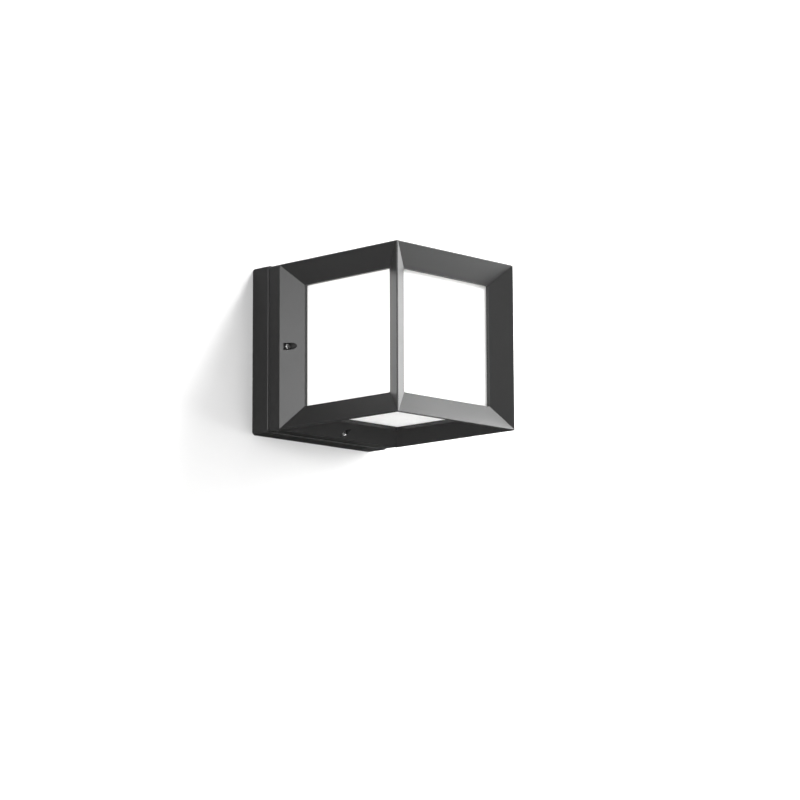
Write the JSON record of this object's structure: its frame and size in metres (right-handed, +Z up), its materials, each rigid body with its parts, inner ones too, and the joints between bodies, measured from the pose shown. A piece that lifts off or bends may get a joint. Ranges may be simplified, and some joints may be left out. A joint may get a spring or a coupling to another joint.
{
  "type": "outdoor wall lantern",
  "caption": "Cube-shaped outdoor wall lantern: cast frame with bevelled window members, opal box diffuser, screw-cap lamp and square wall base.",
  "frame": {"origin": "centre of the base's back face, on the wall", "axes": "+Z up, +Y into the wall, -Y out of the wall towards the front, +X to the right seen from the front"},
  "size_m": [0.1516, 0.1792, 0.1516],
  "materials": {
    "powder_coat": "satin anthracite powder coat",
    "opal": "opal diffusing plastic",
    "stainless": "plain stainless",
    "zinc_steel": "zinc plated",
    "white_steel": "gloss white stove enamel",
    "silicone": "translucent grey silicone",
    "black_rubber": "matt black EPDM",
    "porcelain": "glazed white porcelain",
    "nickel": "nickel plated",
    "brass": "plain brass",
    "cap_insulator": "black cap glass",
    "white_plastic": "moulded white",
    "led_board": "white solder mask on aluminium",
    "led_phosphor": "phosphor resin",
    "circuit": "board with parts",
    "terminal_body": "natural polyamide",
    "wire_brown": "brown insulation",
    "wire_blue": "blue insulation",
    "wire_green": "green and yellow insulation"
  },
  "bodies": {
    "base": {"wall_base": "powder_coat", "wall_gasket": "black_rubber", "cable_grommet": "black_rubber", "fixing_hole_seals": "black_rubber", "head_seal": "silicone", "gear_tray": "white_steel", "tray_grommet": "black_rubber", "tray_screws": "zinc_steel", "lamp_holder_body": "porcelain", "lamp_holder_shell": "nickel", "lamp_holder_contact": "brass", "lamp_holder_screws": "zinc_steel", "terminal_block": "terminal_body", "terminal_clamps": "brass", "terminal_screws": "zinc_steel", "terminal_fixings": "zinc_steel", "earth_screw": "brass", "earth_washer": "zinc_steel", "earth_lug": "zinc_steel", "wire_live": "wire_brown", "wire_neutral": "wire_blue", "wire_earth": "wire_green"},
    "head": {"lantern_frame": "powder_coat", "diffuser": "opal", "diffuser_seal": "silicone", "diffuser_retainer": "zinc_steel", "retainer_screws": "zinc_steel", "captive_screw_seals": "black_rubber"},
    "lamp": {"lamp_cap": "nickel", "lamp_insulator": "cap_insulator", "lamp_contact": "brass", "lamp_housing": "white_plastic", "lamp_dome": "opal", "lamp_led_board": "led_board", "lamp_leds": "led_phosphor", "lamp_driver": "circuit"},
    "screw_left": {"captive_screw_left": "stainless", "captive_ring_left": "stainless"},
    "screw_right": {"captive_screw_right": "stainless", "captive_ring_right": "stainless"},
    "screw_bottom": {"captive_screw_bottom": "stainless", "captive_ring_bottom": "stainless"}
  },
  "joints": [
    {"name": "head_off", "type": "slide", "parent": "base", "child": "head", "axis": [0, -1, 0], "range_m": [0, 0.16]},
    {"name": "lamp_unscrew", "type": "slide", "parent": "base", "child": "lamp", "axis": [0, -1, 0], "range_m": [0, 0.027]},
    {"name": "screw_left_back_out", "type": "slide", "parent": "head", "child": "screw_left", "axis": [0, -1, 0], "range_m": [0, 0.008]},
    {"name": "screw_right_back_out", "type": "slide", "parent": "head", "child": "screw_right", "axis": [0, -1, 0], "range_m": [0, 0.008]},
    {"name": "screw_bottom_back_out", "type": "slide", "parent": "head", "child": "screw_bottom", "axis": [0, -1, 0], "range_m": [0, 0.008]}
  ]
}
